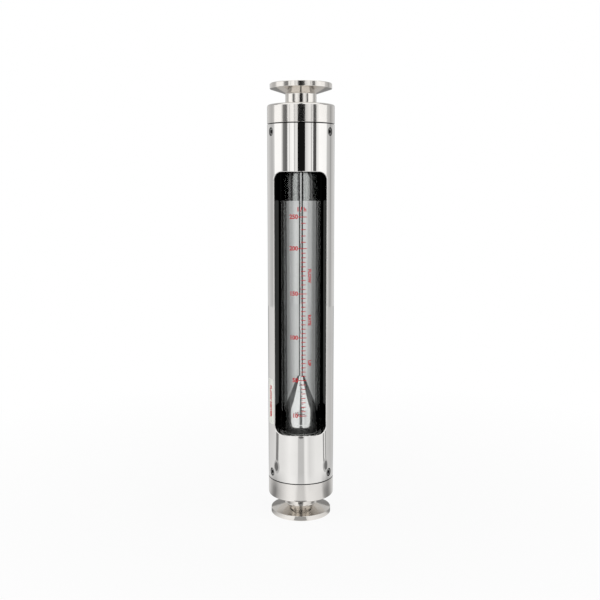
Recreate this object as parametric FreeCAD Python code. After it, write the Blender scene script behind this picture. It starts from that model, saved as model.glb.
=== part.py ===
# Glass-tube rotameter with clamp ferrules, one STEP file per sub-part, in millimetres.
#
# The meter stands on its lower ferrule. The origin is the centre of that ferrule's sealing
# face, +Z runs up the flow axis and the front window faces -Y. Each end of the meter is
# built once, at the bottom, and mirrored about mid-height for the top.
import FreeCAD, Part
import math
import os

# Whole meter
overall_height = 360.0

# Clamp ferrules, the standard size for one-inch tube
rim_radius = 25.25
rim_thickness = 4.2
rim_slope_deg = 18.0
rim_back_round = 0.3
face_edge_chamfer = 0.4
neck_radius = 12.7
neck_fillet = 1.0
port_radius = 11.05
groove_centre_radius = 21.8
groove_section_radius = 1.6
neck_length = 17.0
socket_depth = 8.0
neck_groove_inset = 1.4
neck_groove_width = 0.6
neck_groove_depth = 0.5

# End caps, flush with the casing
cap_height = 15.8
cap_edge_round = 1.6
socket_mouth_chamfer = 0.6
seam_groove_width = 0.6
seam_groove_depth = 0.5
seam_chamfer = 0.2
flare_length = 6.0

# Casing tube and its windows
casing_radius = 27.5
casing_wall = 2.0
window_width = 42.2
window_corner = 6.3
window_sill = 3.5
window_head = 0.8
window_edge_round = 0.5
rear_window_width = 31.8
rear_window_corner = 1.0
rear_window_sill = 8.5
rear_window_head = 23.7

# Glass metering tube
glass_radius = 16.2
glass_wall_bottom = 2.25
glass_wall_top = 1.6
glass_end_chamfer = 0.4

# Stack that holds each end of the glass, from the cap's seat inwards
seat_height = 7.2
spider_thickness = 4.0
gasket_thickness = 2.0
gasket_land = 2.4
packing_floor_height = 4.0
packing_width = 3.6
seal_flange_thickness = 6.0
seal_sleeve_wall = 1.3
seal_lip_height = 0.3
gland_nose_length = 6.0
gland_flange_thickness = 8.2
gland_edge_chamfer = 0.6
spanner_hole_radius = 1.5
spanner_hole_depth = 3.0
spanner_hole_inset = 3.6
spanner_hole_count = 4

# Guide rod, its two spiders, nuts and stops
rod_radius = 1.7
rod_end_radius = 1.35
rod_end_chamfer = 0.3
rod_end_length = 1.0
arm_width = 2.2
arm_count = 3
hub_wall = 2.4
nut_flats = 5.0
nut_thickness = 2.0
stop_length = 18.0
stop_wall = 1.9
stop_edge_chamfer = 0.4

# Float, from its foot up
float_foot_width = 4.4
float_foot_height = 5.0
float_ring_height = 11.5
float_lip_height = 0.6
float_lip_width = 0.5
float_body_height = 13.0
float_cone_height = 26.8
float_tip_width = 1.0
float_edge_round = 0.4

# Countersunk screws that hold the casing to each cap
screw_height = 6.2
screw_count = 3
screw_length = 8.0
screw_radius = 1.5
screw_head_radius = 2.55
screw_head_angle_deg = 45.0
screw_head_land = 0.1
screw_socket_flats = 2.5
screw_socket_depth = 1.0
screw_recess = 0.4
tapped_hole_spare = 0.6

# Clearances between pieces
fit_gap = 0.05
spigot_gap = 0.1
gland_gap = 0.3
running_gap = 0.08
float_ring_gap = 0.35
rest_gap = 0.3

# Heights from the lower ferrule face, worked out from the sizes above
cap_face_z = neck_length
socket_floor_z = cap_face_z + socket_depth
seam_z = cap_face_z + cap_height
seat_z = seam_z + seat_height
spider_top_z = seat_z + spider_thickness
glass_end_z = spider_top_z + gasket_thickness
packing_floor_z = glass_end_z + packing_floor_height
nose_z = packing_floor_z + seal_flange_thickness
spigot_end_z = nose_z + gland_nose_length
gland_face_z = spigot_end_z + gland_flange_thickness
screw_z = seam_z + screw_height
neck_groove_z = cap_face_z - neck_groove_inset - neck_groove_width
window_bottom_z = gland_face_z + window_sill
window_top_z = overall_height - gland_face_z - window_head
rear_bottom_z = window_bottom_z + rear_window_sill
rear_top_z = window_top_z - rear_window_head
float_foot_z = spider_top_z + stop_length + rest_gap

# Radii, worked out from the sizes above
casing_bore_radius = casing_radius - casing_wall
seat_radius = glass_radius + fit_gap
packing_radius = glass_radius + fit_gap + packing_width
sleeve_radius = glass_radius + fit_gap + seal_sleeve_wall
hub_radius = rod_end_radius + fit_gap + hub_wall
seat_opening_radius = seat_radius - gasket_land
float_hole_radius = rod_radius + running_gap
float_ring_radius = glass_radius - glass_wall_bottom - float_ring_gap
float_body_radius = float_ring_radius - float_lip_width
float_foot_radius = float_hole_radius + float_foot_width
float_tip_radius = float_hole_radius + float_tip_width

AXIS = FreeCAD.Vector(0, 0, 1)
CENTRE = FreeCAD.Vector(0, 0, 0)


def turned(profile):
    """Solid turned about Z from a closed outline of (radius, height) corners."""
    corners = [FreeCAD.Vector(radius, 0, height) for radius, height in profile]
    outline = Part.Wire(Part.makePolygon(corners + corners[:1]).Edges)
    return Part.Face(outline).revolve(CENTRE, AXIS, 360)


def ring_edges(shape, radius, height):
    """Full-circle edges of a turned shape at one radius and height."""
    found = []
    for edge in shape.Edges:
        curve = edge.Curve
        if isinstance(curve, Part.Circle) and abs(curve.Radius - radius) < 1e-4:
            if abs(curve.Center.z - height) < 1e-4 and abs(abs(curve.Axis.z) - 1) < 1e-6:
                found.append(edge)
    return found


def round_rings(shape, size, *rings):
    """Rounds circular edges, each given as (radius, height)."""
    edges = [edge for radius, height in rings for edge in ring_edges(shape, radius, height)]
    return shape.makeFillet(size, edges)


def chamfer_rings(shape, size, *rings):
    """Bevels circular edges, each given as (radius, height)."""
    edges = [edge for radius, height in rings for edge in ring_edges(shape, radius, height)]
    return shape.makeChamfer(size, edges)


def hexagon_prism(flats, thickness, base_z):
    """Hexagonal prism about Z, measured across its flats."""
    corner_radius = flats / 2 / math.cos(math.pi / 6)
    corners = []
    for step in range(7):
        angle = step * math.pi / 3
        x = corner_radius * math.cos(angle)
        y = corner_radius * math.sin(angle)
        corners.append(FreeCAD.Vector(x, y, base_z))
    return Part.Face(Part.makePolygon(corners)).extrude(AXIS * thickness)


def cylinder(radius, base_z, top_z):
    """Plain cylinder about Z between two heights."""
    return Part.makeCylinder(radius, top_z - base_z, FreeCAD.Vector(0, 0, base_z))


def at_top(shape):
    """The same piece for the upper end: mirrored about the meter's mid-height."""
    return shape.mirror(FreeCAD.Vector(0, 0, overall_height / 2), AXIS)


def bore_radius_at(height):
    """Radius of the glass tube's tapered bore at a height."""
    share = (height - glass_end_z) / (overall_height - 2 * glass_end_z)
    wall = glass_wall_bottom + (glass_wall_top - glass_wall_bottom) * share
    return glass_radius - wall


def make_clamp_ferrule():
    """Clamp ferrule: sloped rim, gasket groove in its face, and a neck grooved near the cap."""
    slope_rise = (rim_radius - neck_radius) * math.tan(math.radians(rim_slope_deg))
    slope_end_z = rim_thickness + slope_rise
    ferrule = turned([
        (port_radius, 0),
        (rim_radius, 0),
        (rim_radius, rim_thickness),
        (neck_radius, slope_end_z),
        (neck_radius, neck_groove_z),
        (neck_radius - neck_groove_depth, neck_groove_z),
        (neck_radius - neck_groove_depth, neck_groove_z + neck_groove_width),
        (neck_radius, neck_groove_z + neck_groove_width),
        (neck_radius, socket_floor_z),
        (port_radius, socket_floor_z),
    ])
    ferrule = round_rings(ferrule, neck_fillet, (neck_radius, slope_end_z))
    ferrule = round_rings(ferrule, rim_back_round, (rim_radius, rim_thickness))
    ferrule = chamfer_rings(ferrule, face_edge_chamfer, (rim_radius, 0))
    groove = Part.makeTorus(groove_centre_radius, groove_section_radius)
    return ferrule.cut(groove)


def make_end_cap():
    """Turned cap: a disc flush with the casing, a seam groove and a spigot for the glass stack."""
    seam_groove_z = seam_z - seam_groove_width
    cap = turned([
        (port_radius, socket_floor_z),
        (neck_radius + fit_gap, socket_floor_z),
        (neck_radius + fit_gap, cap_face_z),
        (casing_radius, cap_face_z),
        (casing_radius, seam_groove_z),
        (casing_radius - seam_groove_depth, seam_groove_z),
        (casing_radius - seam_groove_depth, seam_z),
        (casing_bore_radius - spigot_gap, seam_z),
        (casing_bore_radius - spigot_gap, spigot_end_z),
        (packing_radius, spigot_end_z),
        (packing_radius, packing_floor_z),
        (seat_radius, packing_floor_z),
        (seat_radius, seat_z),
        (seat_opening_radius, seat_z),
        (port_radius, seat_z - flare_length),
    ])
    cap = round_rings(cap, cap_edge_round, (casing_radius, cap_face_z))
    cap = chamfer_rings(cap, seam_chamfer, (casing_radius, seam_groove_z))
    cap = chamfer_rings(cap, socket_mouth_chamfer, (neck_radius + fit_gap, cap_face_z))
    for tapped_hole in around_casing(make_tapped_hole()):
        cap = cap.cut(tapped_hole)
    return cap


def make_gland_ring():
    """Threaded ring that squeezes the glass seal, with holes for a pin spanner."""
    flange_radius = casing_bore_radius - gland_gap
    ring = turned([
        (sleeve_radius + fit_gap, nose_z),
        (packing_radius - fit_gap, nose_z),
        (packing_radius - fit_gap, spigot_end_z),
        (flange_radius, spigot_end_z),
        (flange_radius, gland_face_z),
        (sleeve_radius + fit_gap, gland_face_z),
    ])
    ring = chamfer_rings(ring, gland_edge_chamfer, (flange_radius, gland_face_z))
    hole = cylinder(spanner_hole_radius, gland_face_z - spanner_hole_depth, gland_face_z)
    hole.translate(FreeCAD.Vector(flange_radius - spanner_hole_inset, 0, 0))
    step_deg = 360 / spanner_hole_count
    for step in range(spanner_hole_count):
        ring = ring.cut(hole.rotated(CENTRE, AXIS, (step + 0.5) * step_deg))
    return ring


def make_glass_seal():
    """Moulded seal: a flange under the gland ring and a sleeve that shows round the glass."""
    return turned([
        (seat_radius, packing_floor_z),
        (packing_radius - fit_gap, packing_floor_z),
        (packing_radius - fit_gap, nose_z),
        (sleeve_radius, nose_z),
        (sleeve_radius, gland_face_z + seal_lip_height),
        (seat_radius, gland_face_z + seal_lip_height),
    ])


def make_cushion_gasket():
    """Flat ring between the end of the glass and the spider."""
    gasket = cylinder(seat_radius - fit_gap, spider_top_z, glass_end_z)
    return gasket.cut(cylinder(seat_opening_radius, spider_top_z, glass_end_z))


def make_rod_spider():
    """Ring with arms and a hub, clamped under the gasket, that centres the guide rod."""
    spider = cylinder(seat_radius - fit_gap, seat_z, spider_top_z)
    spider = spider.cut(cylinder(seat_opening_radius, seat_z, spider_top_z))
    spider = spider.fuse(cylinder(hub_radius, seat_z, spider_top_z))
    arm_start = FreeCAD.Vector(0, -arm_width / 2, seat_z)
    arm = Part.makeBox(seat_opening_radius + gasket_land / 2, arm_width, spider_thickness, arm_start)
    for step in range(arm_count):
        spider = spider.fuse(arm.rotated(CENTRE, AXIS, 90 + step * 360 / arm_count))
    spider = spider.removeSplitter()
    return spider.cut(cylinder(rod_end_radius + fit_gap, seat_z, spider_top_z))


def make_rod_nut():
    """Hexagon nut on the end of the guide rod, against the spider's hub."""
    nut = hexagon_prism(nut_flats, nut_thickness, seat_z - nut_thickness)
    return nut.cut(cylinder(rod_end_radius + fit_gap, seat_z - nut_thickness, seat_z))


def make_float_stop():
    """Sleeve on the guide rod that the float comes to rest against."""
    sleeve = turned([
        (rod_radius + fit_gap, spider_top_z),
        (rod_radius + fit_gap + stop_wall, spider_top_z),
        (rod_radius + fit_gap + stop_wall, spider_top_z + stop_length),
        (rod_radius + fit_gap, spider_top_z + stop_length),
    ])
    rim = (rod_radius + fit_gap + stop_wall, spider_top_z + stop_length)
    return chamfer_rings(sleeve, stop_edge_chamfer, rim)


def make_guide_rod():
    """Rod with a shoulder at each spider and thinner ends that take the nuts."""
    end_z = seat_z - nut_thickness - rod_end_length
    rod = turned([
        (0, end_z),
        (rod_end_radius, end_z),
        (rod_end_radius, spider_top_z),
        (rod_radius, spider_top_z),
        (rod_radius, overall_height - spider_top_z),
        (rod_end_radius, overall_height - spider_top_z),
        (rod_end_radius, overall_height - end_z),
        (0, overall_height - end_z),
    ])
    ends = (rod_end_radius, end_z), (rod_end_radius, overall_height - end_z)
    return chamfer_rings(rod, rod_end_chamfer, *ends)


def make_glass_tube():
    """Borosilicate tube, straight outside, with a bore that widens upwards."""
    top_z = overall_height - glass_end_z
    tube = turned([
        (bore_radius_at(glass_end_z), glass_end_z),
        (glass_radius, glass_end_z),
        (glass_radius, top_z),
        (bore_radius_at(top_z), top_z),
    ])
    return chamfer_rings(tube, glass_end_chamfer, (glass_radius, glass_end_z), (glass_radius, top_z))


def make_float():
    """Turned float: rounded foot, wider metering ring, straight body and a long cone."""
    ring_z = float_foot_z + float_foot_height
    lip_z = ring_z + float_ring_height
    body_z = lip_z + float_lip_height
    cone_z = body_z + float_body_height
    tip_z = cone_z + float_cone_height
    shape = turned([
        (float_hole_radius, float_foot_z),
        (float_foot_radius, float_foot_z),
        (float_ring_radius, ring_z),
        (float_ring_radius, lip_z),
        (float_body_radius, body_z),
        (float_body_radius, cone_z),
        (float_tip_radius, tip_z),
        (float_hole_radius, tip_z),
    ])
    return round_rings(
        shape,
        float_edge_round,
        (float_foot_radius, float_foot_z),
        (float_ring_radius, ring_z),
        (float_ring_radius, lip_z),
        (float_tip_radius, tip_z),
    )


def around_casing(shape):
    """Copies of a shape at the screws' angles: one at the back and one each side of the front."""
    return [shape.rotated(CENTRE, AXIS, 90 + step * 360 / screw_count) for step in range(screw_count)]


def make_radial(profile):
    """Shape turned from (radius, depth) corners about an axis that runs in along -X at the screws."""
    shape = turned([(radius, -depth) for radius, depth in profile])
    shape.rotate(CENTRE, FreeCAD.Vector(0, 1, 0), 90)
    shape.translate(FreeCAD.Vector(casing_radius - screw_recess, 0, screw_z))
    return shape


def head_depth():
    """Depth of a screw's countersunk head, below its short straight land."""
    return (screw_head_radius - screw_radius) / math.tan(math.radians(screw_head_angle_deg))


def make_tapped_hole():
    """Cut for the screw's shank in the cap's spigot, a little longer than the screw."""
    radius = screw_radius + fit_gap
    depth = screw_length + tapped_hole_spare
    return make_radial([(0, 0), (radius, 0), (radius, depth), (0, depth)])


def make_screw_hole():
    """Countersunk cut for one screw through the casing wall; its cone runs out to the surface."""
    radius = screw_radius + fit_gap
    seat_depth = screw_head_land + head_depth()
    above = -casing_wall
    through = 2 * casing_wall
    flare = (screw_head_land - above) * math.tan(math.radians(screw_head_angle_deg))
    return make_radial([
        (0, above),
        (screw_head_radius + flare, above),
        (screw_head_radius, screw_head_land),
        (screw_radius, seat_depth),
        (radius, seat_depth),
        (radius, through),
        (0, through),
    ])


def make_casing_screw():
    """Countersunk screw with a hexagon socket, lying on the axis of its hole."""
    seat_depth = screw_head_land + head_depth()
    screw = make_radial([
        (0, 0),
        (screw_head_radius, 0),
        (screw_head_radius, screw_head_land),
        (screw_radius, seat_depth),
        (screw_radius, screw_length),
        (0, screw_length),
    ])
    socket = hexagon_prism(screw_socket_flats, screw_socket_depth, -screw_socket_depth)
    socket.rotate(CENTRE, FreeCAD.Vector(0, 1, 0), 90)
    socket.translate(FreeCAD.Vector(casing_radius - screw_recess, 0, screw_z))
    return screw.cut(socket)


def window_cut(width, corner, bottom_z, top_z, direction):
    """Rounded rectangle cut through one wall of the casing, towards -Y or +Y."""
    height = top_z - bottom_z
    block = Part.makeBox(width, casing_radius * 2, height, FreeCAD.Vector(-width / 2, 0, bottom_z))
    if direction < 0:
        block.translate(FreeCAD.Vector(0, -casing_radius * 2, 0))
    upright = [edge for edge in block.Edges if abs(edge.tangentAt(edge.FirstParameter).y) > 0.999]
    return block.makeFillet(corner, upright)


def window_rim_edges(shape, width, direction):
    """Outer edges of a window, where its cut meets the outside of the casing."""
    found = []
    for edge in shape.Edges:
        points = edge.discretize(5)
        on_outside = all(abs(math.hypot(p.x, p.y) - casing_radius) < 1e-3 for p in points)
        in_window = all(p.y * direction > 0 and abs(p.x) < width / 2 + 1e-3 for p in points)
        clear_of_ends = all(gland_face_z < p.z < overall_height - gland_face_z for p in points)
        if on_outside and in_window and clear_of_ends:
            found.append(edge)
    return found


def make_casing_tube():
    """Casing: a tube with a wide front window, a narrow rear one and screw holes at each end."""
    top_z = overall_height - seam_z
    casing = cylinder(casing_radius, seam_z, top_z)
    casing = casing.cut(cylinder(casing_bore_radius, seam_z, top_z))
    casing = chamfer_rings(casing, seam_chamfer, (casing_radius, seam_z), (casing_radius, top_z))
    casing = casing.cut(window_cut(window_width, window_corner, window_bottom_z, window_top_z, -1))
    casing = casing.cut(window_cut(rear_window_width, rear_window_corner, rear_bottom_z, rear_top_z, 1))
    casing = casing.makeFillet(window_edge_round, window_rim_edges(casing, window_width, -1))
    casing = casing.makeFillet(window_edge_round, window_rim_edges(casing, rear_window_width, 1))
    for screw_hole in around_casing(make_screw_hole()):
        casing = casing.cut(screw_hole)
        casing = casing.cut(at_top(screw_hole))
    return casing


def make_end_pieces():
    """Every piece of the lower end, by its name without the end."""
    return {
        "clamp_ferrule": make_clamp_ferrule(),
        "end_cap": make_end_cap(),
        "gland_ring": make_gland_ring(),
        "glass_seal": make_glass_seal(),
        "cushion_gasket": make_cushion_gasket(),
        "rod_spider": make_rod_spider(),
        "rod_nut": make_rod_nut(),
        "float_stop": make_float_stop(),
        "casing_screws": Part.makeCompound(around_casing(make_casing_screw())),
    }


def make_all():
    """Every piece of the meter, by its node's name."""
    pieces = {
        "casing_tube": make_casing_tube(),
        "glass_tube": make_glass_tube(),
        "guide_rod": make_guide_rod(),
        "float": make_float(),
    }
    for name, shape in make_end_pieces().items():
        pieces["lower_" + name] = shape
        pieces["upper_" + name] = at_top(shape)
    return pieces


os.makedirs("parts", exist_ok=True)
for node, solid in make_all().items():
    solid.exportStep(os.path.join("parts", node + ".step"))
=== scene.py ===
"""Finish of a glass-tube rotameter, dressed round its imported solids. Lengths are in metres.

The meter stands on its lower clamp ferrule, its axis is Z and its wide front window faces -Y.
"""

import math

import bpy
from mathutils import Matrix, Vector


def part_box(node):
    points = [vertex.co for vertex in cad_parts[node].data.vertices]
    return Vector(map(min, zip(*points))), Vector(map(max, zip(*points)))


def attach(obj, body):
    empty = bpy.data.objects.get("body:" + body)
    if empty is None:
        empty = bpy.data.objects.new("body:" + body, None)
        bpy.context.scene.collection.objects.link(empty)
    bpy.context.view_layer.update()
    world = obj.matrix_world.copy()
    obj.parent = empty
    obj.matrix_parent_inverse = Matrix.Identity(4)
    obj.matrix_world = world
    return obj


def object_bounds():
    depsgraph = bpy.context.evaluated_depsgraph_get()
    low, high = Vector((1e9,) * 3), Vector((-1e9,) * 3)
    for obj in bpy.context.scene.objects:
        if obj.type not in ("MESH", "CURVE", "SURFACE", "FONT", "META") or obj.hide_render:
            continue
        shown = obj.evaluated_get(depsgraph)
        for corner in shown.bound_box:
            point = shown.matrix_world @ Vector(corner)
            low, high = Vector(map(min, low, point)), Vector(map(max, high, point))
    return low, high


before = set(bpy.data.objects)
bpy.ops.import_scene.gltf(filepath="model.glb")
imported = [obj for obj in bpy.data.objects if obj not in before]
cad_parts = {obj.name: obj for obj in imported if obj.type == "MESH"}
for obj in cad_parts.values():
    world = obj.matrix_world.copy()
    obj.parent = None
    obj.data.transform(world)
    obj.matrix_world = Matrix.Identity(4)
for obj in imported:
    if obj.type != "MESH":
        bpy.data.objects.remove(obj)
cad_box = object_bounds()
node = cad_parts
MM = 0.001

# Sizes read from the solids
meter_low, meter_high = cad_box
meter_height = meter_high[2] - meter_low[2]
glass_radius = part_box("glass_tube")[1].x
casing_low, casing_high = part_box("casing_tube")
casing_radius = casing_high.x
gland_ring_gap = 0.3 * MM
casing_bore_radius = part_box("lower_gland_ring")[1].x + gland_ring_gap
seam_height = casing_low.z
screw_low, screw_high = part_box("lower_casing_screws")
screw_height = (screw_low.z + screw_high.z) / 2
screw_head_radius = (screw_high.z - screw_low.z) / 2
screw_spacing_deg = 120.0

# Printed scale: (value, height on the glass, divisions down to the next value)
SCALE_STEPS = (
    (250, 253.0 * MM, 5),
    (200, 227.4 * MM, 10),
    (150, 190.3 * MM, 10),
    (100, 153.8 * MM, 10),
    (50, 118.0 * MM, 8),
    (10, 87.8 * MM, 0),
)
tick_start = 0.7 * MM
tick_end = tick_start + 3.6 * MM
long_tick_start = -1.7 * MM
long_tick_end = 5.2 * MM
tick_thickness = 0.62 * MM
number_edge = -2.0 * MM
number_height = 4.9 * MM
print_thickness = 0.02 * MM
print_cut_spacing = 0.6 * MM
print_weight = 0.036
print_curve_steps = 3
print_merge_distance = 0.001 * MM

# Signs and words of the scale: (words, letter size, place to the right, height, turn in degrees)
SCALE_WORDS = (
    ("l / h", 4.8 * MM, 1.2 * MM, 259.0 * MM, 0),
    ("FLOW", 4.0 * MM, 7.6 * MM, 205.0 * MM, 90),
    ("RATE", 3.8 * MM, 7.6 * MM, 168.5 * MM, 90),
    ("UP", 4.0 * MM, 7.6 * MM, 132.5 * MM, 90),
)

# Clear film label on the casing's left side
label_from_deg = -75.0
label_to_deg = -54.0
label_bottom = 80.5 * MM
label_top = 118.5 * MM
label_thickness = 0.035 * MM
label_glue_gap = 0.005 * MM
label_corner = 1.2 * MM
label_corner_steps = 4
label_words_height = 4.4 * MM
label_print_weight = 0.06

# Painted shade in recesses: the seams' grooves, the screws' seats and sockets
seam_groove_width = 0.7 * MM
seam_groove_margin = 0.05 * MM
seam_groove_sink = 0.12 * MM
seat_shade_rim_width = 0.9 * MM
socket_shade_radius = 1.7 * MM

# The casing's polish, and painted light on its inner wall: painted shade round the sides, painted
# light brighter at the back and higher up
wall_skin_start = 0.3 * MM
wall_skin_end = 0.6 * MM
back_wall_from_deg = 128.0
back_wall_full_deg = 170.0
back_wall_curve = 1.8
lower_wall_top = 95.0 * MM
upper_wall_start = 240.0 * MM
lower_wall_share = 0.1
inner_wall_dulling = 0.02
casing_polish = 0.03
casing_polish_worn = 0.055

# Fine marks that only show in the gloss, the near black of painted shade in grooves and sockets,
# and the glass
turned_ring_depth = 0.02 * MM
plastic_grain_depth = 0.05 * MM
roughness_swing = 0.06
noise_middle = (0.3, 0.7)
drawn_line_stretch = 0.012
marks_start = 0.42
marks_full = 0.68
# Painted shade for grooves, seats and sockets
crevice_painted_shade = (0.006, 0.006, 0.006)
borosilicate_ior = 1.47

# Camera, which stands a little way round from the front
camera_turn_deg = 1.4
camera_distance = 716.5 * MM
camera_aside = -0.74 * MM
camera_height = 277.4 * MM
camera_pitch_deg = 7.487
camera_lens_mm = 51.8
camera_near_limit = 0.01

# Studio
studio_radius = 1.3
softbox_height = 1.7
softbox_centre_height = 0.55
softbox_radiance = 1.1
panel_height = 0.55
upper_panel_height = 2.2
panel_cut_spacing = 0.05
floor_size = 60.0
floor_near = 0.12
floor_far = 0.50
floor_near_white = 0.90
floor_colour = (0.88, 0.88, 0.88)
surround_fill = 0.5
patch_lift = 0.5 * MM
stand_foot_sides = 24

# Lamps that light the matt surfaces: (name, azimuth from, azimuth to)
LAMPS = (
    ("front_left_lamp", -49, -9),
    ("front_right_lamp", 15, 45),
    ("side_left_lamp", -109, -63),
    ("side_right_lamp", 55, 100),
)

# Panels that polished steel and glass see: (name, azimuth from, azimuth to, shade at each edge)
PANELS = (
    ("left_wing", -163, -115, 0.75, 0.50),
    ("left_wing_edge", -115, -101, 0.50, 0.68),
    ("left_lamp_face", -101, -70, 1.12, 1.12),
    ("left_lamp_fade", -70, -64, 1.00, 0.72),
    ("left_flag", -64, -54, 0.27, 0.14),
    ("left_flag_edge", -54, -46, 0.14, 0.20),
    ("front_left_face", -46, -40.5, 1.0, 1.0),
    ("front_left_seam", -40.5, -37.5, 0.70, 0.70),
    ("front_left_core", -37.5, -23.5, 1.0, 1.13),
    ("front_left_rib", -23.5, -20.5, 0.58, 0.58),
    ("front_left_veil", -20.5, -11, 0.80, 0.88),
    ("camera_gap", -11, 13.9, 0.008, 0.008),
    ("front_right_veil", 13.9, 28, 0.66, 0.98),
    ("front_right_face", 28, 34.5, 0.98, 0.90),
    ("front_right_seam", 34.5, 37.5, 0.50, 0.50),
    ("front_right_edge", 37.5, 41.5, 0.95, 0.95),
    ("right_flag", 41.5, 53, 0.10, 0.08),
    ("right_lamp_fade", 53, 62, 0.80, 1.05),
    ("right_lamp_face", 62, 97.5, 1.15, 1.08),
    ("right_wing_edge", 97.5, 118, 0.66, 0.48),
    ("right_wing_rib", 118, 125, 0.37, 0.37),
    ("right_wing", 125, 163, 0.52, 0.75),
    ("rear_left", 163, 174, 0.24, 0.27),
    ("rear_left_fade", 174, 177.5, 0.27, 0.60),
    ("rear_centre_left", 177.5, 180, 0.60, 0.60),
    ("rear_centre_right", -180, -177.5, 0.60, 0.60),
    ("rear_right_fade", -177.5, -174, 0.60, 0.27),
    ("rear_right", -174, -163, 0.27, 0.24),
)

# The panels' upper parts, which the float's cone sees
UPPER_PANELS = (
    ("upper_left_wing", -180, -88, 0.62, 0.40),
    ("upper_left_face", -88, -8, 1.0, 1.0),
    ("upper_camera_gap", -8, 6, 0.12, 0.12),
    ("upper_right_face", 6, 82, 1.0, 1.0),
    ("upper_right_wing", 82, 180, 0.40, 0.62),
)

# What polished steel and glass see of the floor, close by and farther out: (azimuth, shade)
NEAR_FLOOR_SHADES = (
    (-180, 0.66), (-130, 0.68), (-115, 0.50), (-99, 0.28), (-88, 0.24), (-76, 0.45), (-60, 0.68),
    (-42, 0.92), (-30, 1.0), (-18, 0.97), (-10, 0.74), (9, 0.70), (18, 0.96), (34, 0.93),
    (52, 0.85), (68, 0.78), (78, 0.36), (92, 0.25), (101, 0.30), (115, 0.50), (130, 0.70),
    (180, 0.66),
)
FAR_FLOOR_SHADES = (
    (-180, 0.56), (-177.5, 0.56), (-174, 0.26), (-163, 0.24), (-150, 0.66), (-101, 0.76),
    (-84, 0.82), (-60, 0.86), (-38, 0.98), (-20, 0.93), (-11, 0.88), (-8, 0.58), (9, 0.58),
    (12, 0.88), (17, 0.95), (28, 0.76), (50, 0.90), (88, 0.92), (98, 0.62), (125, 0.56),
    (150, 0.62), (163, 0.24), (174, 0.26), (177.5, 0.56), (180, 0.56),
)
near_shade_end = 0.09
far_shade_start = 0.15

# Dark strips on the floor: (name, azimuth from, azimuth to, distance from, distance to, shade)
FLOOR_STRIPS = (
    ("contact_shade_edge", -14, 12, 0.026, 0.039, 0.38),
    ("contact_shade", -18, 16, 0.039, 0.066, 0.07),
    ("camera_mat", -8, 9, 0.27, 1.25, 0.14),
    ("left_stand_leg", -94, -82, 0.15, 1.25, 0.24),
    ("right_stand_leg", 81, 86, 0.15, 1.25, 0.28),
    ("right_stand_cable", 91, 95, 0.15, 1.25, 0.28),
)

# Feet of the lamp stands, which are oval: (name, azimuth, distance, length, width, shade)
STAND_FEET = (
    ("left_stand_pad", -88.0, 0.152, 0.068, 0.042, 0.50),
    ("left_stand_foot", -90.0, 0.150, 0.044, 0.028, 0.16),
    ("right_stand_pad", 90.5, 0.152, 0.066, 0.042, 0.50),
    ("right_stand_foot", 92.5, 0.150, 0.042, 0.028, 0.18),
)


# ---------------------------------------------------------------- helpers

def clear_selection():
    """Deselects everything, so that an operator acts on the new piece alone."""
    if bpy.context.object and bpy.context.object.mode != "OBJECT":
        bpy.ops.object.mode_set(mode="OBJECT")
    bpy.ops.object.select_all(action="DESELECT")


def pick(piece):
    """Makes one object the only selected one, and the active one."""
    clear_selection()
    piece.select_set(True)
    bpy.context.view_layer.objects.active = piece


def settle(piece):
    """Moves a piece's place, turn and size into its mesh."""
    pick(piece)
    bpy.ops.object.transform_apply(location=True, rotation=True, scale=True)


def rename(piece, name):
    """Gives a piece and its mesh one name."""
    piece.name = name
    piece.data.name = name


def join(pieces, name):
    """One piece from several, under a new name."""
    pick(pieces[0])
    for piece in pieces[1:]:
        piece.select_set(True)
    bpy.ops.object.join()
    piece = bpy.context.object
    rename(piece, name)
    return piece


def upright_sheet(width, low, high):
    """Flat sheet standing in the XZ plane, centred on the axis, from one height to another."""
    clear_selection()
    place = (0, 0, (low + high) / 2)
    bpy.ops.mesh.primitive_plane_add(size=1, location=place, rotation=(math.pi / 2, 0, 0))
    sheet = bpy.context.object
    sheet.scale = (width, high - low, 1)
    settle(sheet)
    return sheet


def dress(piece, material):
    """Gives a piece one material all over."""
    piece.data.materials.clear()
    piece.data.materials.append(material)


# ---------------------------------------------------------------- shared effects

def new_group(name, outputs, **inputs):
    """Empty shader node group: the names of its outputs, and its inputs with their defaults."""
    group = bpy.data.node_groups.new(name, "ShaderNodeTree")
    for label, default in inputs.items():
        socket = group.interface.new_socket(label, in_out="INPUT", socket_type="NodeSocketFloat")
        socket.default_value = default
    for label in outputs:
        group.interface.new_socket(label, in_out="OUTPUT", socket_type="NodeSocketFloat")
    return group


def add_node(tree, kind, **settings):
    """New node with its plain properties set."""
    made = tree.nodes.new(kind)
    for key, value in settings.items():
        setattr(made, key, value)
    return made


def feed(tree, value, socket):
    """Gives an input its value: another node's socket, a number or a colour."""
    if isinstance(value, bpy.types.NodeSocket):
        tree.links.new(value, socket)
    elif socket.type == "RGBA":
        socket.default_value = (*value, 1.0)
    else:
        socket.default_value = value


def place_group(tree, group, **values):
    """Group node in a tree, with its own input values; its outputs come back."""
    made = add_node(tree, "ShaderNodeGroup", node_tree=group)
    for label, value in values.items():
        feed(tree, value, made.inputs[label])
    return made.outputs


def math_node(tree, operation, *values):
    """Math node fed by sockets or numbers."""
    made = add_node(tree, "ShaderNodeMath", operation=operation)
    for slot, value in enumerate(values):
        feed(tree, value, made.inputs[slot])
    return made.outputs[0]


def map_range(tree, value, from_low, from_high, to_low=0.0, to_high=1.0):
    """Value carried from one range to another, held at its ends."""
    made = add_node(tree, "ShaderNodeMapRange")
    for slot, number in enumerate((value, from_low, from_high, to_low, to_high)):
        feed(tree, number, made.inputs[slot])
    return made.outputs[0]


def between(tree, share, low, high):
    """Value between two numbers, by a share from 0 to 1."""
    return map_range(tree, share, 0.0, 1.0, low, high)


def object_place(tree):
    """Place of a point in the meter's own frame."""
    return add_node(tree, "ShaderNodeTexCoord").outputs["Object"]


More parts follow.
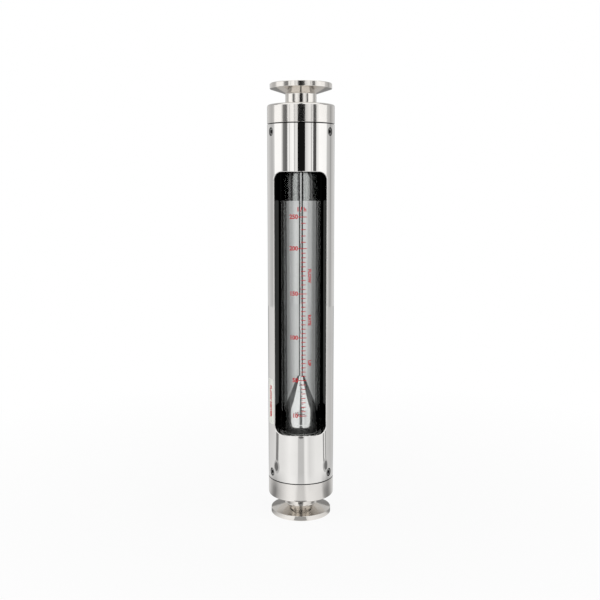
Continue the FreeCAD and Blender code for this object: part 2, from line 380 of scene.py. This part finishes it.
def split_place(tree):
    """The same place as its three separate lengths."""
    split = add_node(tree, "ShaderNodeSeparateXYZ")
    feed(tree, object_place(tree), split.inputs[0])
    return split.outputs


def add_noise(tree, place, scale, detail=2.0, roughness=0.5):
    """Uneven value over a place, from 0 to 1."""
    noise = add_node(tree, "ShaderNodeTexNoise")
    feed(tree, place, noise.inputs["Vector"])
    feed(tree, scale, noise.inputs["Scale"])
    feed(tree, detail, noise.inputs["Detail"])
    feed(tree, roughness, noise.inputs["Roughness"])
    return noise.outputs["Fac"]


def straight_distance(tree, first, second):
    """Distance made by two lengths at right angles."""
    first_square = math_node(tree, "MULTIPLY", first, first)
    second_square = math_node(tree, "MULTIPLY", second, second)
    return math_node(tree, "SQRT", math_node(tree, "ADD", first_square, second_square))


def from_mid_height(tree, height):
    """Distance up or down from the meter's mid-height, because its ends are alike."""
    return math_node(tree, "ABSOLUTE", math_node(tree, "SUBTRACT", height, meter_height / 2))


def give_out(group, **values):
    """Links sockets to a group's outputs by name; the group comes back."""
    out = add_node(group, "NodeGroupOutput")
    for label, socket in values.items():
        feed(group, socket, out.inputs[label])
    return group


def make_axis_radius_group():
    """Distance of a point from the meter's axis, and its height."""
    group = new_group("axis_radius", ["Radius", "Height"])
    place = split_place(group)
    radius = straight_distance(group, place["X"], place["Y"])
    return give_out(group, Radius=radius, Height=place["Z"])


def make_azimuth_group():
    """Direction of a point round the meter in degrees: 0 in front, growing towards +X."""
    group = new_group("azimuth", ["Degrees"])
    place = split_place(group)
    forward = math_node(group, "MULTIPLY", place["Y"], -1.0)
    angle = math_node(group, "ARCTAN2", place["X"], forward)
    return give_out(group, Degrees=math_node(group, "MULTIPLY", angle, math.degrees(1.0)))


def make_screw_distance_group(azimuth):
    """Distance, over the casing's surface, from the axis of the nearest casing screw."""
    group = new_group("screw_distance", ["Distance"])
    from_middle = from_mid_height(group, split_place(group)["Z"])
    up = math_node(group, "SUBTRACT", from_middle, meter_height / 2 - screw_height)
    turn = place_group(group, azimuth)["Degrees"]
    turn = math_node(group, "FLOORED_MODULO", turn, screw_spacing_deg)
    turn = math_node(group, "SUBTRACT", turn, screw_spacing_deg / 2)
    turn = math_node(group, "RADIANS", turn)
    across = math_node(group, "MULTIPLY", turn, casing_radius)
    return give_out(group, Distance=straight_distance(group, up, across))


def make_seam_group(axis_radius):
    """Mask of the grooves between the end caps and the casing, from 0 to 1, where painted shade
    goes.
    """
    group = new_group("seam_groove", ["Groove"])
    polar = place_group(group, axis_radius)
    from_middle = from_mid_height(group, polar["Height"])
    past = math_node(group, "SUBTRACT", from_middle, meter_height / 2 - seam_height)
    beyond = math_node(group, "GREATER_THAN", past, -seam_groove_margin)
    short = math_node(group, "LESS_THAN", past, seam_groove_width)
    groove_radius = casing_radius - seam_groove_sink
    sunk = math_node(group, "LESS_THAN", polar["Radius"], groove_radius)
    in_height = math_node(group, "MULTIPLY", beyond, short)
    return give_out(group, Groove=math_node(group, "MULTIPLY", in_height, sunk))


def make_turned_rings_group(axis_radius):
    """Fine rings left by turning: they run round the axis."""
    group = new_group("turned_rings", ["Rings"], Fineness=1500.0)
    fineness = add_node(group, "NodeGroupInput").outputs["Fineness"]
    polar = place_group(group, axis_radius)
    place = add_node(group, "ShaderNodeCombineXYZ")
    feed(group, math_node(group, "MULTIPLY", polar["Radius"], fineness), place.inputs["X"])
    feed(group, math_node(group, "MULTIPLY", polar["Height"], fineness), place.inputs["Z"])
    return give_out(group, Rings=add_noise(group, place.outputs[0], 1.0, detail=3.0))


def make_drawn_lines_group():
    """Fine lines left by polishing along the axis."""
    group = new_group("drawn_lines", ["Lines"], Fineness=900.0)
    fineness = add_node(group, "NodeGroupInput").outputs["Fineness"]
    stretch = add_node(group, "ShaderNodeMapping")
    stretch.inputs["Scale"].default_value = (1.0, 1.0, drawn_line_stretch)
    feed(group, object_place(group), stretch.inputs["Vector"])
    return give_out(group, Lines=add_noise(group, stretch.outputs[0], fineness))


def make_handling_group():
    """Soft patches where hands and cloths have dulled a polished surface, from 0 to 1."""
    group = new_group("handling_marks", ["Marks"], Size=38.0)
    size = add_node(group, "NodeGroupInput").outputs["Size"]
    noise = add_noise(group, object_place(group), size, detail=4.0, roughness=0.6)
    return give_out(group, Marks=map_range(group, noise, marks_start, marks_full))


AXIS_RADIUS = make_axis_radius_group()
AZIMUTH = make_azimuth_group()
SCREW_DISTANCE = make_screw_distance_group(AZIMUTH)
SEAM_GROOVE_SHADE = make_seam_group(AXIS_RADIUS)
TURNED_RINGS = make_turned_rings_group(AXIS_RADIUS)
DRAWN_LINES = make_drawn_lines_group()
HANDLING = make_handling_group()


# ---------------------------------------------------------------- materials

def new_material(name):
    """Material with its tree and its Principled shader."""
    material = bpy.data.materials.new(name)
    material.use_nodes = True
    tree = material.node_tree
    return material, tree, tree.nodes["Principled BSDF"]


def mix_colour(tree, share, low, high):
    """Colour between two, by a share; each is a plain colour or a socket."""
    made = add_node(tree, "ShaderNodeMix", data_type="RGBA")
    feed(tree, share, made.inputs["Factor"])
    feed(tree, low, made.inputs["A"])
    feed(tree, high, made.inputs["B"])
    return made.outputs["Result"]


def mix_shaders(tree, share, first, second):
    """Shader between two, by a share."""
    made = add_node(tree, "ShaderNodeMixShader")
    for slot, socket in enumerate((share, first, second)):
        feed(tree, socket, made.inputs[slot])
    return made.outputs[0]


def grey_ramp(tree, value, stops):
    """Grey read off a ramp; the stops are (azimuth in degrees, shade)."""
    ramp = add_node(tree, "ShaderNodeValToRGB")
    elements = ramp.color_ramp.elements
    while len(elements) < len(stops):
        elements.new(1.0)
    for element, (azimuth, shade) in zip(elements, stops):
        element.position = (azimuth + 180) / 360
        element.color = (shade, shade, shade, 1)
    feed(tree, value, ramp.inputs["Fac"])
    return ramp.outputs["Color"]


def add_bump(tree, shader, height, strength, distance):
    """Bump from a height, into the shader's normal."""
    bump = add_node(tree, "ShaderNodeBump")
    bump.inputs["Strength"].default_value = strength
    bump.inputs["Distance"].default_value = distance
    feed(tree, height, bump.inputs["Height"])
    feed(tree, bump.outputs[0], shader.inputs["Normal"])


def make_turned_steel(name, bright, dull, smooth, rough, ring_strength, fineness, metallic=1.0):
    """Turned stainless steel: fine rings round the axis, patches dulled by handling, and painted
    shade in the seam grooves.
    """
    material, tree, shader = new_material(name)
    shader.inputs["Metallic"].default_value = metallic
    rings = place_group(tree, TURNED_RINGS, Fineness=fineness)["Rings"]
    marks = place_group(tree, HANDLING)["Marks"]
    # Painted shade darkens the seam grooves next to the casing
    seam_shade = place_group(tree, SEAM_GROOVE_SHADE)["Groove"]
    colour = mix_colour(tree, seam_shade, mix_colour(tree, marks, bright, dull), crevice_painted_shade)
    feed(tree, colour, shader.inputs["Base Color"])
    worn = math_node(tree, "MULTIPLY", marks, 0.5)
    blend = math_node(tree, "ADD", worn, math_node(tree, "MULTIPLY", rings, 0.5))
    feed(tree, between(tree, blend, smooth, rough), shader.inputs["Roughness"])
    add_bump(tree, shader, rings, ring_strength, turned_ring_depth)
    return material


def make_screw_steel():
    """Bright screw heads with painted shade filling their sockets."""
    material, tree, shader = new_material("screw_steel")
    shader.inputs["Metallic"].default_value = 1.0
    marks = place_group(tree, HANDLING, Size=900.0)["Marks"]
    distance = place_group(tree, SCREW_DISTANCE)["Distance"]
    # Painted shade fills each screw's socket
    socket = math_node(tree, "LESS_THAN", distance, socket_shade_radius)
    head = mix_colour(tree, marks, (0.46, 0.46, 0.45), (0.32, 0.32, 0.31))
    feed(tree, mix_colour(tree, socket, head, crevice_painted_shade), shader.inputs["Base Color"])
    feed(tree, between(tree, marks, 0.16, 0.28), shader.inputs["Roughness"])
    return material


def make_casing_steel():
    """Mirror-polished tube outside; its inner wall is duller, with painted shade round the sides
    and painted light towards the back and higher up.
    """
    material, tree, shader = new_material("casing_polished_steel")
    shader.inputs["Metallic"].default_value = 1.0
    polar = place_group(tree, AXIS_RADIUS)
    lines = place_group(tree, DRAWN_LINES)["Lines"]
    marks = place_group(tree, HANDLING)["Marks"]
    turn = math_node(tree, "ABSOLUTE", place_group(tree, AZIMUTH)["Degrees"])
    skin_start = casing_bore_radius + wall_skin_start
    skin_end = casing_bore_radius + wall_skin_end
    inside = map_range(tree, polar["Radius"], skin_start, skin_end, 1.0, 0.0)
    outer = mix_colour(tree, marks, (0.88, 0.866, 0.845), (0.85, 0.836, 0.815))
    # Painted shade on the inner wall's sides and painted light on its back, set by azimuth and
    # height
    side_wall_painted_shade = mix_colour(tree, lines, (0.03, 0.032, 0.03), (0.06, 0.062, 0.06))
    back_wall_painted_light = mix_colour(tree, lines, (0.50, 0.505, 0.50), (0.66, 0.66, 0.655))
    back_light_share = map_range(tree, turn, back_wall_from_deg, back_wall_full_deg)
    back_light_share = math_node(tree, "POWER", back_light_share, back_wall_curve)
    height = polar["Height"]
    above = map_range(tree, height, lower_wall_top, upper_wall_start, lower_wall_share, 1.0)
    back_light_share = math_node(tree, "MULTIPLY", back_light_share, above)
    inner = mix_colour(tree, back_light_share, side_wall_painted_shade, back_wall_painted_light)
    wall = mix_colour(tree, inside, outer, inner)
    # Painted shade in each screw's countersunk seat, round its head
    distance = place_group(tree, SCREW_DISTANCE)["Distance"]
    seat_shade = math_node(tree, "LESS_THAN", distance, screw_head_radius + seat_shade_rim_width)
    feed(tree, mix_colour(tree, seat_shade, wall, crevice_painted_shade), shader.inputs["Base Color"])
    polish = between(tree, marks, casing_polish, casing_polish_worn)
    dull = math_node(tree, "MULTIPLY", inside, inner_wall_dulling)
    feed(tree, math_node(tree, "ADD", polish, dull), shader.inputs["Roughness"])
    return material


def make_glass():
    """Clear borosilicate glass with the faintest dulling."""
    material, tree, shader = new_material("metering_glass")
    shader.inputs["Transmission Weight"].default_value = 1.0
    shader.inputs["IOR"].default_value = borosilicate_ior
    marks = place_group(tree, HANDLING, Size=60.0)["Marks"]
    colour = mix_colour(tree, marks, (0.955, 0.965, 0.96), (0.93, 0.94, 0.935))
    feed(tree, colour, shader.inputs["Base Color"])
    feed(tree, between(tree, marks, 0.0, 0.012), shader.inputs["Roughness"])
    return material


def make_fluoroplastic(name, low, high, roughness, grain_scale, grain_strength):
    """Matt fluoroplastic with a fine grain."""
    material, tree, shader = new_material(name)
    grain = add_noise(tree, object_place(tree), grain_scale, detail=5.0)
    feed(tree, mix_colour(tree, grain, low, high), shader.inputs["Base Color"])
    smooth, rough = roughness - roughness_swing, roughness + roughness_swing
    feed(tree, map_range(tree, grain, *noise_middle, smooth, rough), shader.inputs["Roughness"])
    add_bump(tree, shader, grain, grain_strength, plastic_grain_depth)
    return material


def make_scale_ink():
    """Red enamel ink, a little uneven, baked on the glass."""
    material, tree, shader = new_material("scale_red_ink")
    noise = add_noise(tree, object_place(tree), 700.0)
    colour = mix_colour(tree, noise, (0.46, 0.004, 0.010), (0.58, 0.012, 0.018))
    feed(tree, colour, shader.inputs["Base Color"])
    feed(tree, map_range(tree, noise, *noise_middle, 0.32, 0.48), shader.inputs["Roughness"])
    return material


# ---------------------------------------------------------------- printed scale

def flat_bar(left, right, height, thickness):
    """Printed stroke lying in the XZ plane, before it is wrapped on the glass."""
    clear_selection()
    centre = ((left + right) / 2, 0, height)
    bpy.ops.mesh.primitive_cube_add(size=1, location=centre)
    bar = bpy.context.object
    bar.scale = (right - left, print_thickness, thickness)
    settle(bar)
    return bar


def flat_text(words, size, x, height, turn_deg=0.0, align="RIGHT", weight=print_weight):
    """Printed words standing in the XZ plane, before they are wrapped on the glass."""
    clear_selection()
    bpy.ops.object.text_add()
    text = bpy.context.object
    text.data.body = words
    text.data.size = size
    text.data.align_x = align
    text.data.align_y = "CENTER"
    text.data.extrude = print_thickness / 2
    text.data.resolution_u = print_curve_steps
    text.data.offset = weight * size
    bpy.ops.object.convert(target="MESH")
    text = bpy.context.object
    text.rotation_euler = (math.pi / 2, math.radians(turn_deg), 0)
    text.location = (x, 0, height)
    settle(text)
    bpy.ops.object.mode_set(mode="EDIT")
    bpy.ops.mesh.select_all(action="SELECT")
    bpy.ops.mesh.remove_doubles(threshold=print_merge_distance)
    bpy.ops.mesh.normals_make_consistent(inside=False)
    bpy.ops.object.mode_set(mode="OBJECT")
    return text


def wrap_round(piece, radius, turn_deg=0.0, spacing=print_cut_spacing):
    """Bends a flat piece round the meter's axis, after cutting it into narrow upright strips."""
    pick(piece)
    bpy.ops.object.mode_set(mode="EDIT")
    low = min(corner[0] for corner in piece.bound_box)
    high = max(corner[0] for corner in piece.bound_box)
    for strip in range(1, int((high - low) / spacing) + 1):
        bpy.ops.mesh.select_all(action="SELECT")
        cut_x = low + strip * spacing
        bpy.ops.mesh.bisect(plane_co=(cut_x, 0, 0), plane_no=(1, 0, 0))
    bpy.ops.object.mode_set(mode="OBJECT")
    for corner in piece.data.vertices:
        reach = radius - corner.co.y
        angle = math.radians(turn_deg) + corner.co.x / radius
        corner.co.x = reach * math.sin(angle)
        corner.co.y = -reach * math.cos(angle)


def make_scale(ink):
    """Red scale on the front of the glass: numbers, divisions and a few plain words."""
    marks = []
    for step, (value, height, divisions) in enumerate(SCALE_STEPS):
        marks.append(flat_bar(long_tick_start, long_tick_end, height, tick_thickness))
        marks.append(flat_text(str(value), number_height, number_edge, height))
        if not divisions:
            continue
        spacing = (height - SCALE_STEPS[step + 1][1]) / divisions
        for division in range(1, divisions):
            tick_height = height - division * spacing
            marks.append(flat_bar(tick_start, tick_end, tick_height, tick_thickness))
    for words in SCALE_WORDS:
        marks.append(flat_text(*words, align="CENTER"))
    scale = join(marks, "printed_scale")
    wrap_round(scale, glass_radius + print_thickness)
    dress(scale, ink)
    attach(scale, "housing")


# ---------------------------------------------------------------- side label

def make_label_film():
    """Thin translucent film, a little whiter than clear, for the label."""
    material, tree, shader = new_material("label_film")
    noise = add_noise(tree, object_place(tree), 220.0)
    colour = mix_colour(tree, noise, (0.93, 0.94, 0.87), (0.97, 0.98, 0.92))
    feed(tree, colour, shader.inputs["Base Color"])
    shader.inputs["Roughness"].default_value = 0.35
    shader.inputs["Alpha"].default_value = 0.80
    return material


def make_side_label(ink):
    """Film label that follows the casing's curve, with rounded corners and two plain words."""
    radius = casing_radius + label_glue_gap + label_thickness
    middle_deg = (label_from_deg + label_to_deg) / 2
    middle_height = (label_bottom + label_top) / 2
    width = radius * math.radians(label_to_deg - label_from_deg)
    label = upright_sheet(width, label_bottom, label_top)
    bpy.ops.object.mode_set(mode="EDIT")
    bpy.ops.mesh.select_all(action="SELECT")
    bpy.ops.mesh.bevel(
        offset=label_corner, offset_type="OFFSET", segments=label_corner_steps, affect="VERTICES"
    )
    bpy.ops.mesh.extrude_region_move(TRANSFORM_OT_translate={"value": (0, label_thickness, 0)})
    bpy.ops.mesh.select_all(action="SELECT")
    bpy.ops.mesh.normals_make_consistent(inside=False)
    bpy.ops.object.mode_set(mode="OBJECT")
    rename(label, "side_label")
    wrap_round(label, radius, middle_deg)
    dress(label, make_label_film())
    words = flat_text(
        "FLOW METER", label_words_height, 0, middle_height, 90, "CENTER", label_print_weight
    )
    rename(words, "side_label_words")
    wrap_round(words, radius + print_thickness, middle_deg)
    dress(words, ink)
    for piece in (label, words):
        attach(piece, "housing")


# ---------------------------------------------------------------- studio

def direction(azimuth_deg, distance, height):
    """Point round the meter: azimuth 0 is on the camera's side and grows towards +X."""
    angle = math.radians(azimuth_deg + camera_turn_deg)
    return Vector((distance * math.sin(angle), -distance * math.cos(angle), height))


def add_softbox(name, from_deg, to_deg):
    """Tall soft lamp facing the meter over a span of azimuth, seen by matt surfaces alone."""
    place = direction((from_deg + to_deg) / 2, studio_radius, softbox_centre_height)
    bpy.ops.object.light_add(type="AREA", location=place)
    lamp = bpy.context.object
    lamp.name = name
    lamp.data.shape = "RECTANGLE"
    lamp.data.size = 2 * studio_radius * math.tan(math.radians(to_deg - from_deg) / 2)
    lamp.data.size_y = softbox_height
    lamp.data.energy = softbox_radiance * math.pi * lamp.data.size * lamp.data.size_y
    aim = Vector((0, 0, softbox_centre_height)) - place
    lamp.rotation_euler = aim.to_track_quat("-Z", "Y").to_euler()
    lamp.visible_camera = False
    lamp.visible_glossy = False
    lamp.visible_transmission = False


def light_stage(piece, name):
    """Makes a stage piece glow for polished steel and glass alone; gives its tree and emission."""
    rename(piece, name)
    material, tree = new_material(name)[:2]
    emission = add_node(tree, "ShaderNodeEmission")
    feed(tree, emission.outputs[0], tree.nodes["Material Output"].inputs["Surface"])
    dress(piece, material)
    piece.visible_camera = False
    piece.visible_diffuse = False
    piece.visible_shadow = False
    return tree, emission


def add_panel(name, from_deg, to_deg, from_shade, to_shade, low, high):
    """Upright curved panel, shaded from edge to edge."""
    width = studio_radius * math.radians(to_deg - from_deg)
    panel = upright_sheet(width, low, high)
    middle_deg = (from_deg + to_deg) / 2 + camera_turn_deg
    wrap_round(panel, studio_radius, middle_deg, panel_cut_spacing)
    tree, emission = light_stage(panel, name)
    azimuth = place_group(tree, AZIMUTH)["Degrees"]
    from_azimuth = from_deg + camera_turn_deg
    to_azimuth = to_deg + camera_turn_deg
    shade = map_range(tree, azimuth, from_azimuth, to_azimuth, from_shade, to_shade)
    feed(tree, shade, emission.inputs["Color"])


def add_floor_strip(name, from_deg, to_deg, near, far, shade):
    """Dark strip on the floor that widens with its distance from the meter."""
    clear_selection()
    bpy.ops.mesh.primitive_plane_add(size=1)
    strip = bpy.context.object
    for corner in strip.data.vertices:
        azimuth = from_deg if corner.co.x < 0 else to_deg
        distance = near if corner.co.y > 0 else far
        corner.co = direction(azimuth, distance, meter_low[2] + patch_lift)
    emission = light_stage(strip, name)[1]
    emission.inputs["Strength"].default_value = shade


def add_stand_foot(name, azimuth_deg, distance, length, width, shade, lift):
    """Oval foot of a lamp stand, lying across the line to the meter."""
    clear_selection()
    place = direction(azimuth_deg, distance, meter_low[2] + lift)
    bpy.ops.mesh.primitive_circle_add(
        vertices=stand_foot_sides, radius=0.5, fill_type="NGON", location=place
    )
    foot = bpy.context.object
    foot.scale = (length, width, 1)
    foot.rotation_euler = (0, 0, math.radians(azimuth_deg + camera_turn_deg))
    settle(foot)
    emission = light_stage(foot, name)[1]
    emission.inputs["Strength"].default_value = shade


def make_pale_floor():
    """White to the eye, matt for the shadow, and shaded for polished steel and glass."""
    material, tree, matt = new_material("pale_floor")
    matt.inputs["Base Color"].default_value = (*floor_colour, 1.0)
    matt.inputs["Roughness"].default_value = 0.7
    matt.inputs["Specular IOR Level"].default_value = 0.0
    ray = add_node(tree, "ShaderNodeLightPath").outputs
    reach = add_node(tree, "ShaderNodeVectorMath", operation="LENGTH")
    feed(tree, object_place(tree), reach.inputs[0])
    radius = reach.outputs["Value"]

    # The camera sees white, with a little of the matt floor and its shadow near the meter
    away = map_range(tree, radius, floor_near, floor_far, floor_near_white, 1.0)
    away = math_node(tree, "MULTIPLY", away, ray["Is Camera Ray"])
    white = add_node(tree, "ShaderNodeEmission")
    seen = mix_shaders(tree, away, matt.outputs[0], white.outputs[0])

    # Polished steel and glass see it by its shades
    azimuth = place_group(tree, AZIMUTH)["Degrees"]
    turn = map_range(tree, azimuth, camera_turn_deg - 180, camera_turn_deg + 180)
    near_shade = grey_ramp(tree, turn, NEAR_FLOOR_SHADES)
    far_shade = grey_ramp(tree, turn, FAR_FLOOR_SHADES)
    out_there = map_range(tree, radius, near_shade_end, far_shade_start)
    mirrored = add_node(tree, "ShaderNodeEmission")
    feed(tree, mix_colour(tree, out_there, near_shade, far_shade), mirrored.inputs["Color"])
    sharp = math_node(tree, "MAXIMUM", ray["Is Glossy Ray"], ray["Is Transmission Ray"])
    surface = mix_shaders(tree, sharp, seen, mirrored.outputs[0])
    feed(tree, surface, tree.nodes["Material Output"].inputs["Surface"])
    return material


def make_floor():
    """Floor that keeps the meter's shadow."""
    clear_selection()
    bpy.ops.mesh.primitive_plane_add(size=floor_size, location=(0, 0, meter_low[2]))
    floor = bpy.context.object
    floor.name = "floor"
    settle(floor)
    dress(floor, make_pale_floor())


def make_world():
    """White surround for the eye, polished steel and glass; a softer fill for the rest."""
    world = bpy.data.worlds.new("studio_surround")
    world.use_nodes = True
    tree = world.node_tree
    background = tree.nodes["Background"]
    background.inputs["Color"].default_value = (1, 1, 1, 1)
    ray = add_node(tree, "ShaderNodeLightPath").outputs
    sharp = math_node(tree, "MAXIMUM", ray["Is Camera Ray"], ray["Is Glossy Ray"])
    clear = math_node(tree, "MAXIMUM", sharp, ray["Is Transmission Ray"])
    feed(tree, between(tree, clear, surround_fill, 1.0), background.inputs["Strength"])
    bpy.context.scene.world = world


def make_studio():
    """Floor, surround, soft lamps and the ring of panels round the meter."""
    make_world()
    make_floor()
    for lamp in LAMPS:
        add_softbox(*lamp)
    for panel in PANELS:
        add_panel(*panel, meter_low[2], panel_height)
    for panel in UPPER_PANELS:
        add_panel(*panel, panel_height, upper_panel_height)
    for strip in FLOOR_STRIPS:
        add_floor_strip(*strip)
    # The feet lie above the strips, each a step above the one before
    for step, foot in enumerate(STAND_FEET, start=2):
        add_stand_foot(*foot, step * patch_lift)


def make_camera():
    """Camera in front of the meter, near its upper third, looking slightly down."""
    round_turn = math.radians(camera_turn_deg)
    place = direction(0, camera_distance, camera_height)
    place += Vector((math.cos(round_turn), math.sin(round_turn), 0)) * camera_aside
    turn = (math.radians(90 - camera_pitch_deg), 0, round_turn)
    bpy.ops.object.camera_add(location=place, rotation=turn)
    camera = bpy.context.object
    camera.name = "front_camera"
    camera.data.lens = camera_lens_mm
    camera.data.clip_start = camera_near_limit
    bpy.context.scene.camera = camera


# ---------------------------------------------------------------- assembly

def dress_solids():
    """Gives every solid of the meter its finish."""
    cap_steel = make_turned_steel(
        "cap_turned_steel", bright=(0.84, 0.815, 0.785), dull=(0.80, 0.775, 0.745),
        smooth=0.10, rough=0.12, ring_strength=0.01, fineness=2200.0,
    )
    ferrule_steel = make_turned_steel(
        "ferrule_turned_steel", bright=(0.84, 0.81, 0.77), dull=(0.79, 0.76, 0.72),
        smooth=0.11, rough=0.14, ring_strength=0.01, fineness=1800.0,
    )
    float_steel = make_turned_steel(
        "float_polished_steel", bright=(0.95, 0.95, 0.945), dull=(0.91, 0.91, 0.905),
        smooth=0.05, rough=0.08, ring_strength=0.01, fineness=2600.0, metallic=0.85,
    )
    rod_steel = make_turned_steel(
        "rod_bright_steel", bright=(0.92, 0.92, 0.92), dull=(0.88, 0.88, 0.88),
        smooth=0.03, rough=0.05, ring_strength=0.0, fineness=2600.0,
    )
    screw_steel = make_screw_steel()
    seal_plastic = make_fluoroplastic(
        "seal_pale_plastic", low=(0.64, 0.64, 0.62), high=(0.72, 0.72, 0.70),
        roughness=0.30, grain_scale=600.0, grain_strength=0.03,
    )
    gasket_plastic = make_fluoroplastic(
        "gasket_white_plastic", low=(0.80, 0.79, 0.75), high=(0.88, 0.87, 0.84),
        roughness=0.42, grain_scale=500.0, grain_strength=0.1,
    )
    dress(node["casing_tube"], make_casing_steel())
    dress(node["glass_tube"], make_glass())
    dress(node["float"], float_steel)
    dress(node["guide_rod"], rod_steel)
    finish_at_each_end = {
        "end_cap": cap_steel,
        "gland_ring": cap_steel,
        "clamp_ferrule": ferrule_steel,
        "rod_spider": ferrule_steel,
        "rod_nut": rod_steel,
        "casing_screws": screw_steel,
        "glass_seal": seal_plastic,
        "cushion_gasket": gasket_plastic,
        "float_stop": gasket_plastic,
    }
    for end in ("lower_", "upper_"):
        for piece, finish in finish_at_each_end.items():
            dress(node[end + piece], finish)


dress_solids()
red_ink = make_scale_ink()
make_scale(red_ink)
make_side_label(red_ink)
make_studio()
make_camera()
bpy.context.scene.view_settings.view_transform = "Standard"
